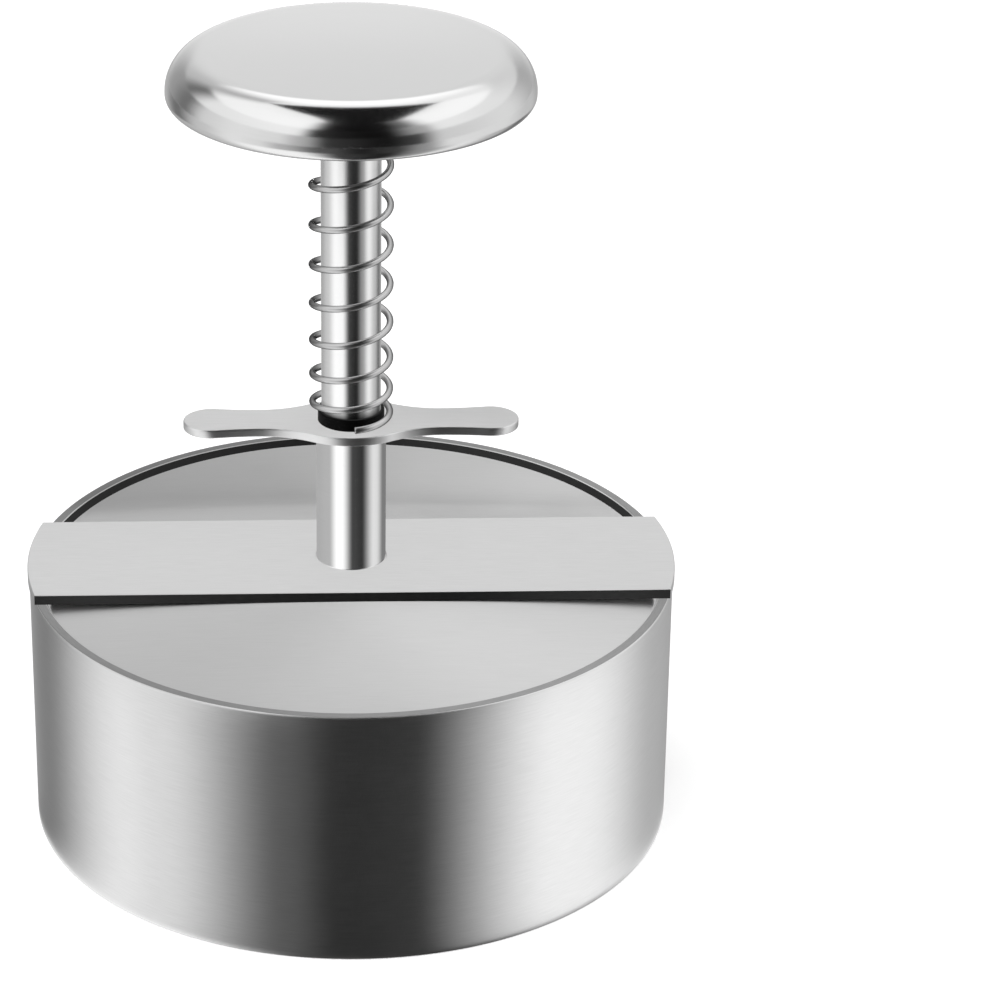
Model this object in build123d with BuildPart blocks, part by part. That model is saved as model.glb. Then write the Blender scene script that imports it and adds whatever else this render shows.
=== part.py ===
"""Hand press for burgers: a ring, a bar with a guide sleeve, and a sprung plunger with a plate and a knob."""
import os
from math import atan, cos, exp, pi, radians, sin, sqrt, tan

from build123d import *

os.makedirs("parts", exist_ok=True)

# Mould ring
ring_outer_radius = 55.0
ring_wall = 1.8
ring_height = 45.0
rim_edge_radius = 0.35

# Bar across the rim
bar_width = 28.4
bar_thickness = 1.8
bar_overhang = 0.3
bar_edge_radius = 0.25
weld_gap = 0.02

# Rod with its threaded ends
rod_radius = 5.0
rod_edge_break = 0.4
stud_radius = 4.0
stud_rise_over_nut = 0.2
running_gap = 0.05
thread_gap = 0.05

# Guide sleeve and its bush
sleeve_wall = 0.85
sleeve_stand = 24.1
bush_wall = 0.55
bush_rise = 2.0
bush_edge_break = 0.2

# Finger plate
finger_plate_span = 56.5
finger_plate_thickness = 1.5
finger_plate_centre_half_width = 8.3
finger_plate_centre_radius = 13.0
finger_plate_neck_reach = 15.3
finger_plate_neck_half_width = 4.05
finger_plate_end_radius = 4.65
finger_plate_edge_radius = 0.25

# Return spring
wire_radius = 0.565
spring_turns = 9
spring_length = 56.5
spring_bush_gap = 0.33
spring_seat_gap = 0.05
spring_start_angle = -86.0
lower_crowding = 0.63
lower_crowding_turns = 1.5
upper_crowding = 0.6
upper_crowding_turns = 0.5
washer_thickness = 1.0
washer_margin = 1.0
washer_rod_gap = 0.25

# Knob
knob_radius = 30.2
knob_crown = 0.6
knob_shoulder_radius = 6.6
knob_side_height = 0.3
knob_lower_radius = 1.5
knob_wall = 0.9
knob_lip_width = 2.0
knob_base_thickness = 1.0
knob_base_gap = 0.1
nut_across_flats = 13.0
nut_height = 4.0
nut_edge_break = 0.4
stud_hole_gap = 0.1

# Press plate and its screw
plate_ring_gap = 0.4
plate_rest_gap = 0.1
plate_thickness = 2.0
plate_drop = 1.2
plate_land_radius = 9.0
plate_edge_radius = 0.3
screw_radius = 2.5
screw_length = 12.0
screw_hole_spare = 0.8
screw_head_gap = 0.03
hex_key_width = 3.0
hex_key_depth = 1.6

# Levels above the table, from the bottom up
ring_inner_radius = ring_outer_radius - ring_wall
bar_bottom = ring_height
bar_top = bar_bottom + bar_thickness
sleeve_top = bar_top + sleeve_stand
finger_plate_top = sleeve_top + finger_plate_thickness
bush_top = finger_plate_top + bush_rise
washer_bottom = finger_plate_top + spring_length
washer_top = washer_bottom + washer_thickness
knob_base_bottom = washer_top + spring_seat_gap
knob_bottom = knob_base_bottom - knob_wall
knob_top = knob_bottom + knob_lower_radius + knob_side_height + knob_shoulder_radius + knob_crown
knob_base_top = knob_base_bottom + knob_base_thickness
nut_top = knob_base_top + nut_height
stud_top = nut_top + stud_rise_over_nut
plate_top = bar_bottom - plate_rest_gap
plate_bottom = plate_top - plate_thickness

# Radii that follow from the rod, outwards
bore_radius = rod_radius + running_gap
sleeve_radius = bore_radius + sleeve_wall
bush_radius = bore_radius + bush_wall
coil_radius = bush_radius + spring_bush_gap + wire_radius


# The ring is a seamless-looking tube with both rims eased, open below and above.
with BuildPart() as mould_ring:
    with BuildSketch(Plane.XY):
        Circle(ring_outer_radius)
        Circle(ring_inner_radius, mode=Mode.SUBTRACT)
    extrude(amount=ring_height)
    fillet(mould_ring.edges().filter_by(GeomType.CIRCLE), radius=rim_edge_radius)
mould_ring.part.label = "mould_ring"
export_step(mould_ring.part, "parts/mould_ring.step")


# The bar lies on the rim, and its ends are arcs that stand a hair proud of the ring.
with BuildPart() as crossbar:
    with BuildSketch(Plane.XY.offset(bar_bottom)):
        Circle(ring_outer_radius + bar_overhang)
        Rectangle(2 * (ring_outer_radius + bar_overhang), bar_width, mode=Mode.INTERSECT)
        Circle(sleeve_radius + weld_gap, mode=Mode.SUBTRACT)
    extrude(amount=bar_thickness)
    bar_outline = crossbar.faces().sort_by(Axis.Z)[-1].outer_wire().edges()
    fillet(bar_outline, radius=bar_edge_radius)
crossbar.part.label = "crossbar"
export_step(crossbar.part, "parts/crossbar.step")


# The sleeve goes down through the bar and is welded flush with its underside.
with BuildPart() as guide_sleeve:
    with BuildSketch(Plane.XY.offset(bar_bottom)):
        Circle(sleeve_radius)
        Circle(bore_radius, mode=Mode.SUBTRACT)
    extrude(amount=sleeve_top - bar_bottom)
guide_sleeve.part.label = "guide_sleeve"
export_step(guide_sleeve.part, "parts/guide_sleeve.step")


# The finger plate's outline is a bulge, a waist and a round end, mirrored into four quarters.
def waist_radius(reach, waist, bulge_radius):
    """Radius of the hollow arc that leaves a bulge and is level at a waist, reach away from its centre."""
    return (reach**2 + waist**2 - bulge_radius**2) / (2 * (bulge_radius - waist))


def touching_point(bulge_centre, bulge_radius, hollow_centre):
    """Point where the bulge's circle meets the hollow arc round the other centre."""
    away = Vector(*hollow_centre) - Vector(*bulge_centre)
    return Vector(*bulge_centre) + away.normalized() * bulge_radius


end_centre = (finger_plate_span / 2 - finger_plate_end_radius, 0)
bulge_centre = (0, finger_plate_centre_half_width - finger_plate_centre_radius)
neck = Vector(finger_plate_neck_reach, finger_plate_neck_half_width)
inner_hollow_radius = waist_radius(
    finger_plate_neck_reach, finger_plate_neck_half_width - bulge_centre[1], finger_plate_centre_radius
)
outer_hollow_radius = waist_radius(
    end_centre[0] - finger_plate_neck_reach, finger_plate_neck_half_width, finger_plate_end_radius
)
inner_touch = touching_point(bulge_centre, finger_plate_centre_radius, (neck.X, neck.Y + inner_hollow_radius))
outer_touch = touching_point(end_centre, finger_plate_end_radius, (neck.X, neck.Y + outer_hollow_radius))

with BuildPart() as finger_plate:
    with BuildSketch(Plane.XY.offset(sleeve_top)):
        with BuildLine():
            bulge = TangentArc((0, finger_plate_centre_half_width), inner_touch, tangent=(1, 0))
            TangentArc(inner_touch, neck, tangent=bulge % 1)
            outer_hollow = TangentArc(neck, outer_touch, tangent=(1, 0))
            TangentArc(outer_touch, (finger_plate_span / 2, 0), tangent=outer_hollow % 1)
            mirror(about=Plane.XZ)
            mirror(about=Plane.YZ)
        make_face()
        Circle(bush_radius + weld_gap, mode=Mode.SUBTRACT)
    extrude(amount=finger_plate_thickness)
    plate_outlines = finger_plate.faces().filter_by(Axis.Z)
    for flat_side in plate_outlines:
        fillet(flat_side.outer_wire().edges(), radius=finger_plate_edge_radius)
finger_plate.part.label = "finger_plate"
export_step(finger_plate.part, "parts/finger_plate.step")


# The bush stands on the sleeve's end, lines the finger plate's hole and rises inside the spring.
with BuildPart() as guide_bush:
    with BuildSketch(Plane.XY.offset(sleeve_top)):
        Circle(bush_radius)
        Circle(bore_radius, mode=Mode.SUBTRACT)
    extrude(amount=bush_top - sleeve_top)
    bush_rim = guide_bush.edges().filter_by(GeomType.CIRCLE).group_by(Axis.Z)[-1].sort_by(SortBy.RADIUS)[-1]
    chamfer(bush_rim, length=bush_edge_break)
guide_bush.part.label = "guide_bush"
export_step(guide_bush.part, "parts/guide_bush.step")


# The spring is one right-handed wire whose turns crowd together towards both ends.
lower_crowding_loss = lower_crowding * lower_crowding_turns
upper_crowding_loss = upper_crowding * upper_crowding_turns
coil_bottom = finger_plate_top + spring_seat_gap + wire_radius
coil_rise = spring_length - 2 * (spring_seat_gap + wire_radius)


def crowded_turns(turn):
    """Turns counted by height: a turn near an end adds less than a whole one."""
    lower = lower_crowding_loss * (1 - exp(-turn / lower_crowding_turns))
    upper_now = exp((turn - spring_turns) / upper_crowding_turns)
    upper_start = exp(-spring_turns / upper_crowding_turns)
    return turn - lower - upper_crowding_loss * (upper_now - upper_start)


full_pitch = coil_rise / crowded_turns(spring_turns)


def coil_point(turn):
    """Point on the wire's centre line after so many turns."""
    angle = radians(spring_start_angle) + 2 * pi * turn
    height = coil_bottom + full_pitch * crowded_turns(turn)
    return Vector(coil_radius * cos(angle), coil_radius * sin(angle), height)


def coil_direction(turn):
    """Direction in which the wire climbs there."""
    angle = radians(spring_start_angle) + 2 * pi * turn
    lower = lower_crowding * exp(-turn / lower_crowding_turns)
    upper = upper_crowding * exp((turn - spring_turns) / upper_crowding_turns)
    climb = full_pitch * (1 - lower - upper)
    around = 2 * pi * coil_radius
    return Vector(-around * sin(angle), around * cos(angle), climb).normalized()


def biarc_joint(start, start_direction, end, end_direction):
    """Point and direction where two arcs of one bend meet."""
    chord = end - start
    both = start_direction + end_direction
    along = chord.dot(both)
    spread = 2 * (1 - start_direction.dot(end_direction))
    reach = (sqrt(along**2 + spread * chord.dot(chord)) - along) / spread
    first_corner = start + start_direction * reach
    second_corner = end - end_direction * reach
    return (first_corner + second_corner) * 0.5, (second_corner - first_corner).normalized()


bends_per_turn = 4
with BuildPart() as return_spring:
    with BuildLine() as wire_path:
        for bend in range(spring_turns * bends_per_turn):
            bend_start = coil_point(bend / bends_per_turn)
            bend_end = coil_point((bend + 1) / bends_per_turn)
            start_direction = coil_direction(bend / bends_per_turn)
            end_direction = coil_direction((bend + 1) / bends_per_turn)
            joint, joint_direction = biarc_joint(bend_start, start_direction, bend_end, end_direction)
            TangentArc(bend_start, joint, tangent=start_direction)
            TangentArc(joint, bend_end, tangent=joint_direction)
    with BuildSketch(Plane(origin=coil_point(0), z_dir=coil_direction(0))):
        Circle(wire_radius)
    sweep(path=wire_path.wire())
return_spring.part.label = "return_spring"
export_step(return_spring.part, "parts/return_spring.step")

samples_per_turn = 72
coil_samples = [coil_point(i / samples_per_turn) for i in range(spring_turns * samples_per_turn + 1)]
half_turn = samples_per_turn // 2
nearest = min(
    (coil_samples[i] - coil_samples[j]).length
    for i in range(len(coil_samples))
    for j in range(i + half_turn, len(coil_samples))
)
wire_length = wire_path.wire().length
print(f"spring: least gap to itself {nearest - 2 * wire_radius:.2f} mm, full pitch {full_pitch:.2f} mm")
print(f"spring: volume {return_spring.part.volume:.2f}, section x length {pi * wire_radius**2 * wire_length:.2f}")


# The washer carries the spring's top end and lets the knob turn on it.
with BuildPart() as spring_washer:
    with BuildSketch(Plane.XY.offset(washer_bottom)):
        Circle(coil_radius + wire_radius + washer_margin)
        Circle(rod_radius + washer_rod_gap, mode=Mode.SUBTRACT)
    extrude(amount=washer_thickness)
spring_washer.part.label = "spring_washer"
export_step(spring_washer.part, "parts/spring_washer.step")


# The rod stands on the press plate, is tapped for the plate's screw and ends above in a stud.
with BuildPart() as rod:
    with BuildSketch(Plane.XY.offset(plate_top)):
        Circle(rod_radius)
    extrude(amount=knob_base_bottom - plate_top)
    with BuildSketch(Plane.XY.offset(knob_base_bottom)):
        Circle(stud_radius)
    extrude(amount=stud_top - knob_base_bottom)
    chamfer(rod.edges().filter_by(GeomType.CIRCLE).sort_by(Axis.Z)[-1], length=rod_edge_break)
    with BuildSketch(Plane.XY.offset(plate_top)):
        Circle(screw_radius + thread_gap)
    extrude(amount=screw_length - plate_thickness + screw_hole_spare, mode=Mode.SUBTRACT)
rod.part.label = "rod"
export_step(rod.part, "parts/rod.step")


# The knob's shell is one pressed cap: a slightly crowned top, a round shoulder and a lip turned in below.
shoulder_reach = knob_radius - knob_shoulder_radius
crown_angle = 2 * atan(knob_crown / shoulder_reach)
shoulder_level = knob_bottom + knob_lower_radius + knob_side_height
crown_radius = shoulder_reach / sin(crown_angle) + knob_shoulder_radius
crown_centre_level = shoulder_level - shoulder_reach / tan(crown_angle)
lip_end = knob_radius - knob_lower_radius


def knob_half_section(inset):
    """Half of the knob's section, drawn this far inside its outer face."""
    with BuildSketch() as section:
        with BuildLine():
            apex = (0, crown_centre_level + crown_radius - inset)
            shoulder = (
                shoulder_reach + (knob_shoulder_radius - inset) * sin(crown_angle),
                shoulder_level + (knob_shoulder_radius - inset) * cos(crown_angle),
            )
            side_top = (knob_radius - inset, shoulder_level)
            side_bottom = (knob_radius - inset, knob_bottom + knob_lower_radius)
            lip_edge = (lip_end, knob_bottom + inset)
            crown = TangentArc(apex, shoulder, tangent=(1, 0))
            TangentArc(shoulder, side_top, tangent=crown % 1)
            Line(side_top, side_bottom)
            TangentArc(side_bottom, lip_edge, tangent=(0, -1))
            Line(lip_edge, (0, knob_bottom + inset))
            Line((0, knob_bottom + inset), apex)
        make_face()
    return section.sketch_local


with BuildPart() as knob_shell:
    with BuildSketch(Plane.XZ):
        add(knob_half_section(0))
        add(knob_half_section(knob_wall), mode=Mode.SUBTRACT)
        with Locations((0, knob_bottom)):
            lip_opening = lip_end - knob_lip_width
            Rectangle(lip_opening, knob_wall, align=(Align.MIN, Align.MIN), mode=Mode.SUBTRACT)
    revolve(axis=Axis.Z)
knob_shell.part.label = "knob_shell"
export_step(knob_shell.part, "parts/knob_shell.step")


# The base disc lies on the shell's lip and closes the knob from below.
with BuildPart() as knob_base:
    with BuildSketch(Plane.XY.offset(knob_base_bottom)):
        Circle(lip_end - knob_base_gap)
        Circle(stud_radius + stud_hole_gap, mode=Mode.SUBTRACT)
    extrude(amount=knob_base_thickness)
knob_base.part.label = "knob_base"
export_step(knob_base.part, "parts/knob_base.step")


# The thin nut is welded on the base disc, inside the knob.
with BuildPart() as knob_nut:
    with BuildSketch(Plane.XY.offset(knob_base_top)):
        RegularPolygon(nut_across_flats / 2, side_count=6, major_radius=False)
        Circle(stud_radius + thread_gap, mode=Mode.SUBTRACT)
    extrude(amount=nut_height)
    chamfer(knob_nut.faces().sort_by(Axis.Z)[-1].outer_wire().edges(), length=nut_edge_break)
knob_nut.part.label = "knob_nut"
export_step(knob_nut.part, "parts/knob_nut.step")


# The press plate is very slightly dished: flat under the rod, then falling towards its edge.
plate_radius = ring_inner_radius - plate_ring_gap
screw_head_radius = screw_radius + plate_thickness
with BuildPart() as press_plate:
    with BuildSketch(Plane.XZ) as plate_section:
        with BuildLine():
            land_above = (plate_land_radius, plate_top)
            land_below = (plate_land_radius, plate_bottom)
            edge_above = (plate_radius, plate_top - plate_drop)
            edge_below = (plate_radius, plate_bottom - plate_drop)
            Line((0, plate_top), land_above)
            TangentArc(land_above, edge_above, tangent=(1, 0))
            Line(edge_above, edge_below)
            TangentArc(land_below, edge_below, tangent=(1, 0))
            Line(land_below, (0, plate_bottom))
            Line((0, plate_bottom), (0, plate_top))
        make_face()
        fillet(plate_section.vertices().group_by(Axis.X)[-1], radius=plate_edge_radius)
    revolve(axis=Axis.Z)
    with Locations(Plane(origin=(0, 0, plate_bottom), z_dir=(0, 0, -1))):
        CounterSinkHole(
            radius=screw_radius + screw_head_gap,
            counter_sink_radius=screw_head_radius + screw_head_gap,
            counter_sink_angle=90,
        )
press_plate.part.label = "press_plate"
export_step(press_plate.part, "parts/press_plate.step")


# The screw's cone fills the plate's thickness, flush below, and its shank goes up into the rod.
with BuildPart() as plate_screw:
    with BuildSketch(Plane.XZ):
        with BuildLine():
            Polyline(
                (0, plate_bottom),
                (screw_head_radius, plate_bottom),
                (screw_radius, plate_top),
                (screw_radius, plate_bottom + screw_length),
                (0, plate_bottom + screw_length),
                close=True,
            )
        make_face()
    revolve(axis=Axis.Z)
    with BuildSketch(Plane.XY.offset(plate_bottom)):
        RegularPolygon(hex_key_width / 2, side_count=6, major_radius=False)
    extrude(amount=hex_key_depth, mode=Mode.SUBTRACT)
plate_screw.part.label = "plate_screw"
export_step(plate_screw.part, "parts/plate_screw.step")

travel = plate_bottom - plate_drop
print(f"levels: finger plate top {finger_plate_top:.2f}, washer bottom {washer_bottom:.2f}")
print(f"levels: knob bottom {knob_bottom:.2f}, top {knob_top:.2f}")
print(f"travel: the plate reaches the table after {travel:.2f} mm")
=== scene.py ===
"""Looks of the burger press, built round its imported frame, in metres."""
from math import asin, atan, cos, degrees, pi, radians, sin, tan

import bmesh
import bpy
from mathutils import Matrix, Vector


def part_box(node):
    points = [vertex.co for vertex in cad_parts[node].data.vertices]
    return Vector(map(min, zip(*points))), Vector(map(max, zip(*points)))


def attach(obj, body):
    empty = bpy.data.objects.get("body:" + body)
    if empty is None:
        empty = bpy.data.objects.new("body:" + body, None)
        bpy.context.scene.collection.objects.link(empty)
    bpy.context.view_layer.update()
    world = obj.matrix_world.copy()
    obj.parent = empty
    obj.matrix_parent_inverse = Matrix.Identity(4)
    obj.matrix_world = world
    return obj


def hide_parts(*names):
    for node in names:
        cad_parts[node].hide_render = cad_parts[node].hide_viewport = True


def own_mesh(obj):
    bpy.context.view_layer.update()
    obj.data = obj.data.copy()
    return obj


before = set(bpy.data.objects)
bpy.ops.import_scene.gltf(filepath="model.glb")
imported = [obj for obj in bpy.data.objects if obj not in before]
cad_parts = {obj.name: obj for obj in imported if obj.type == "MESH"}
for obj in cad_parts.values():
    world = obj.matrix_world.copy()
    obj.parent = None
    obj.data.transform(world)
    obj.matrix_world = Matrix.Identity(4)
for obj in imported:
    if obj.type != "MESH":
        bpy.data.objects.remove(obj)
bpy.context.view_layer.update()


# Mould ring
# A strip of 1.8 mm stainless sheet, rolled round and butt welded. Its walls are ground on a belt all the
# way round, so the scratches run level, and both rims are eased by hand.
mm = 0.001
ring_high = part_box("mould_ring")[1]
ring_radius = ring_high.x
ring_height = ring_high.z
ring_wall = 1.8 * mm
rim_edge_radius = 0.35 * mm
lip_bottom = 0.95 * ring_height


def arc(centre, radius, start, end, steps):
    """Points of an arc round a centre, between two angles in degrees."""
    turns = [radians(start + (end - start) * step / steps) for step in range(steps + 1)]
    return [Vector((centre[0] + radius * cos(turn), centre[1] + radius * sin(turn))) for turn in turns]


def eased(corners, steps=6):
    """Closed outline through corners given as (x, y, radius), each rounded by an arc of its radius."""
    points = []
    for index, (x, y, radius) in enumerate(corners):
        corner = Vector((x, y))
        before = (Vector(corners[index - 1][:2]) - corner).normalized()
        after = (Vector(corners[(index + 1) % len(corners)][:2]) - corner).normalized()
        if radius == 0:
            points.append(corner)
            continue
        half = before.angle(after) / 2
        centre = corner + (before + after).normalized() * radius / sin(half)
        start = corner + before * radius / tan(half) - centre
        end = corner + after * radius / tan(half) - centre
        for step in range(steps + 1):
            share = step / steps
            turn = (pi - 2 * half) * share
            along = (start * sin(pi - 2 * half - turn) + end * sin(turn)) / sin(pi - 2 * half)
            points.append(centre + along)
    return points


def skin(name, rings, around, closed=False):
    """Mesh of quads from ring to ring. Its map Grain has u round the rings and v across them, in metres."""
    shape = bmesh.new()
    grain = shape.loops.layers.uv.new("Grain")
    corners = [[shape.verts.new(point) for point in ring] for ring in rings]
    widest = max(range(len(rings[0])), key=lambda k: max(Vector(ring[k][:2]).length for ring in rings))
    across = 0
    count = len(rings[0])
    for index in range(len(rings) if closed else len(rings) - 1):
        this, other = corners[index], corners[(index + 1) % len(rings)]
        step = (other[widest].co - this[widest].co).length
        for k in range(count):
            after = (k + 1) % count
            face = shape.faces.new((this[k], this[after], other[after], other[k]))
            u_values = (around[k], around[k + 1], around[k + 1], around[k])
            v_values = (across, across, across + step, across + step)
            for loop, u, v in zip(face.loops, u_values, v_values):
                loop[grain].uv = (u, v)
        across += step
    bmesh.ops.remove_doubles(shape, verts=shape.verts, dist=0.0001 * mm)
    bmesh.ops.recalc_face_normals(shape, faces=shape.faces)
    mesh = bpy.data.meshes.new(name)
    shape.to_mesh(mesh)
    shape.free()
    mesh.shade_smooth()
    mesh.set_sharp_from_angle(angle=radians(35))
    piece = bpy.data.objects.new(name, mesh)
    bpy.context.scene.collection.objects.link(piece)
    even = piece.modifiers.new("Even normals", "WEIGHTED_NORMAL")
    even.keep_sharp = True
    # The pieces mirror the studio's boards only, not each other.
    piece.visible_glossy = False
    return piece


def turned(name, outline, closed=True, segments=192):
    """A half section of (radius, level) points turned round the Z axis."""
    widest = max(point[0] for point in outline)
    angles = [2 * pi * k / segments for k in range(segments + 1)]
    rings = [[(r * cos(a), r * sin(a), z) for a in angles[:-1]] for r, z in outline]
    return skin(name, rings, [widest * a for a in angles], closed)


ring_inner_radius = ring_radius - ring_wall
ring_wall_piece = turned(
    "ring_wall",
    eased(
        [
            (ring_inner_radius, 0, rim_edge_radius),
            (ring_radius, 0, rim_edge_radius),
            (ring_radius, ring_height, rim_edge_radius),
            (ring_inner_radius, ring_height, rim_edge_radius),
            (ring_inner_radius, lip_bottom, 0),
        ]
    ),
    segments=320,
)


def linear(hex_colour):
    """Linear colour of an sRGB hex value."""
    shares = [int(hex_colour[k : k + 2], 16) / 255 for k in (1, 3, 5)]
    return [s / 12.92 if s <= 0.04045 else ((s + 0.055) / 1.055) ** 2.4 for s in shares] + [1]


def add_node(tree, kind, settings=None, inputs=None):
    """Adds a node, sets its properties, and gives each input a value or a link from another node's output."""
    node = tree.nodes.new(kind)
    for name, value in (settings or {}).items():
        setattr(node, name, value)
    for socket, value in (inputs or {}).items():
        if isinstance(value, bpy.types.NodeSocket):
            tree.links.new(value, node.inputs[socket])
        else:
            node.inputs[socket].default_value = value
    return node


def worked_steel(
    name,
    colour,
    roughness,
    anisotropy,
    line_width,
    line_length,
    line_depth,
    mottle,
    rim="#FFFFFF",
    reflection_band=None,
):
    """Stainless steel with lines along u of the map Grain. Its gloss takes the tint rim at a grazing look. A
    band of painted dark reflection is given as its level, and the distances from it where it begins to fade
    and is gone."""
    material = bpy.data.materials.new(name)
    material.use_nodes = True
    tree = material.node_tree
    tree.nodes.clear()
    grain = add_node(tree, "ShaderNodeUVMap", {"uv_map": "Grain"}).outputs["UV"]
    place = add_node(tree, "ShaderNodeTexCoord").outputs["Object"]

    def lines(width, length):
        """Noise drawn out along the grain, near 0.5, in lines of that width and length."""
        stretched = add_node(
            tree, "ShaderNodeMapping", inputs={"Vector": grain, "Scale": (1 / length, 1 / width, 1)}
        )
        noise = add_node(
            tree,
            "ShaderNodeTexNoise",
            {"noise_dimensions": "2D"},
            {"Vector": stretched.outputs["Vector"], "Scale": 1, "Detail": 2, "Roughness": 0.6},
        )
        return noise.outputs["Fac"]

    fine = lines(line_width, line_length)
    broad = lines(7 * line_width, 4 * line_length)
    handling = add_node(
        tree, "ShaderNodeTexNoise", inputs={"Vector": place, "Scale": 1 / (9 * mm), "Detail": 3}
    ).outputs["Fac"]
    both_lines = add_node(
        tree, "ShaderNodeMath", {"operation": "MULTIPLY_ADD"}, {0: broad, 1: 0.15, 2: fine}
    ).outputs["Value"]
    shading = {"From Min": 0.25, "From Max": 0.9, "To Min": 1 - mottle, "To Max": 1 + mottle}
    shade = add_node(tree, "ShaderNodeMapRange", inputs={"Value": both_lines, **shading}).outputs["Result"]
    # A band of painted dark reflection round a level, where the colour falls to 2 %.
    if reflection_band:
        level = add_node(tree, "ShaderNodeSeparateXYZ", inputs={"Vector": place}).outputs["Z"]
        offset = add_node(
            tree, "ShaderNodeMath", {"operation": "SUBTRACT"}, {0: level, 1: reflection_band[0]}
        ).outputs["Value"]
        away = add_node(tree, "ShaderNodeMath", {"operation": "ABSOLUTE"}, {0: offset}).outputs["Value"]
        reflection_fade = add_node(
            tree,
            "ShaderNodeMapRange",
            inputs={"Value": away, "From Min": reflection_band[1], "From Max": reflection_band[2], "To Min": 0.02},
        ).outputs["Result"]
        shade = add_node(
            tree, "ShaderNodeMath", {"operation": "MULTIPLY"}, {0: shade, 1: reflection_fade}
        ).outputs["Value"]
    tint = add_node(
        tree, "ShaderNodeVectorMath", {"operation": "SCALE"}, {0: linear(colour)[:3], "Scale": shade}
    ).outputs["Vector"]
    wear = {"From Min": 0.3, "From Max": 0.7, "To Min": 0.96 * roughness, "To Max": 1.04 * roughness}
    worn = add_node(tree, "ShaderNodeMapRange", inputs={"Value": handling, **wear}).outputs["Result"]
    scratched = add_node(
        tree, "ShaderNodeMath", {"operation": "MULTIPLY_ADD"}, {0: fine, 1: 0.3 * roughness, 2: worn}
    ).outputs["Value"]
    bump = add_node(
        tree, "ShaderNodeBump", inputs={"Height": both_lines, "Distance": line_depth, "Strength": 1}
    ).outputs["Normal"]
    along_grain = add_node(tree, "ShaderNodeTangent", {"direction_type": "UV_MAP", "uv_map": "Grain"})
    shader = add_node(
        tree,
        "ShaderNodeBsdfPrincipled",
        inputs={
            "Base Color": tint,
            "Metallic": 1,
            "Roughness": scratched,
            "Anisotropic": anisotropy,
            "Anisotropic Rotation": 0.25,
            "Specular Tint": linear(rim),
            "Normal": bump,
            "Tangent": along_grain.outputs["Tangent"],
        },
    )
    add_node(tree, "ShaderNodeOutputMaterial", inputs={"Surface": shader.outputs["BSDF"]})
    return material


# Belt-ground sheet: scratches 0.1 mm wide and shorter than a finger, drawn 0.22 mm wide so that they show.
belt_ground_stainless = worked_steel(
    "belt_ground_stainless",
    colour="#CDCDCD",
    roughness=0.34,
    anisotropy=0.75,
    line_width=0.22 * mm,
    line_length=5 * mm,
    line_depth=0.002 * mm,
    mottle=0.05,
)
# Rim: filed smooth by hand, so it is greyer and rougher than the wall, with short marks.
filed_edge = worked_steel(
    "filed_stainless_edge",
    colour="#8A8A8A",
    roughness=0.4,
    anisotropy=0.3,
    line_width=0.2 * mm,
    line_length=2 * mm,
    line_depth=0.004 * mm,
    mottle=0.12,
)
# Laser-cut edge and painted shade: the bar's cut sides, dark with oxide and painted darker still as shade,
# and a band of painted shade along the top of the ring's inner wall, where the gap above the press plate is
# dark. Nearly black, with fine lines.
dark_cut_edge_and_painted_shade = worked_steel(
    "cut_edge_and_painted_shade_stainless",
    colour="#343434",
    roughness=0.45,
    anisotropy=0.2,
    line_width=0.15 * mm,
    line_length=1.5 * mm,
    line_depth=0.006 * mm,
    mottle=0.25,
)
for material in (belt_ground_stainless, filed_edge, dark_cut_edge_and_painted_shade):
    ring_wall_piece.data.materials.append(material)
for face in ring_wall_piece.data.polygons:
    inside = Vector(face.center[:2]).length < ring_inner_radius + 0.2 * rim_edge_radius
    if abs(face.normal.z) > 0.9:
        face.material_index = 1
    # The top band of the inner wall, above the press plate, is painted nearly black as the shade of the gap.
    elif inside and face.center.z > lip_bottom:
        face.material_index = 2
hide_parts("mould_ring")
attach(ring_wall_piece, "frame")


# Bar across the rim
# Flat stainless bar, sheared to the ring's arc at both ends and welded to the rim from inside. Its top was
# brushed lengthwise before it was cut, and its upper edges are just broken.
bar_low, bar_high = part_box("crossbar")
bar_end_radius = bar_high.x
bar_half_width = bar_high.y
bar_edge_radius = 0.25 * mm
sleeve_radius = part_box("guide_sleeve")[1].x
sleeve_joint = 0.02 * mm


def inset(outline, distance):
    """The closed outline moved inwards by a distance, keeping its corners."""
    sharpest = 0.3
    moved = []
    for index, point in enumerate(outline):
        before = (point - outline[index - 1]).normalized()
        after = (outline[(index + 1) % len(outline)] - point).normalized()
        inward = Vector((-before.y - after.y, before.x + after.x)).normalized()
        moved.append(point + inward * distance / max(sharpest, inward.dot(Vector((-after.y, after.x)))))
    return moved


def flat_plate(name, outline, hole_radius, bottom, top, edge, eased_below):
    """A plate of an outline that runs left-handed round a round hole, with its edges rounded."""
    quarter = 5
    rolls = [radians(90 * step / quarter) for step in range(quarter + 1)]
    levels = [(edge * (1 - sin(roll)), bottom + edge * (1 - cos(roll))) for roll in rolls]
    if not eased_below:
        levels = [(0, bottom)]
    levels += [(edge * (1 - cos(roll)), top - edge * (1 - sin(roll))) for roll in rolls]
    hole = [point.normalized() * hole_radius for point in outline]
    rings = [[(point.x, point.y, bottom) for point in hole]]
    for distance, level in levels:
        rings.append([(point.x, point.y, level) for point in inset(outline, distance)])
    rings.append([(point.x, point.y, top) for point in hole])
    around = [0]
    for index, point in enumerate(outline):
        around.append(around[-1] + (outline[(index + 1) % len(outline)] - point).length)
    return skin(name, rings, around, closed=True)


def straight_grain(piece):
    """Turns the grain of the faces that look up or down to run along the X axis."""
    level = 0.8
    mesh = piece.data
    grain = mesh.uv_layers["Grain"].uv
    for face in mesh.polygons:
        if abs(face.normal.z) > level:
            for corner in face.loop_indices:
                point = mesh.vertices[mesh.loops[corner].vertex_index].co
                grain[corner].vector = point.xy


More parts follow.
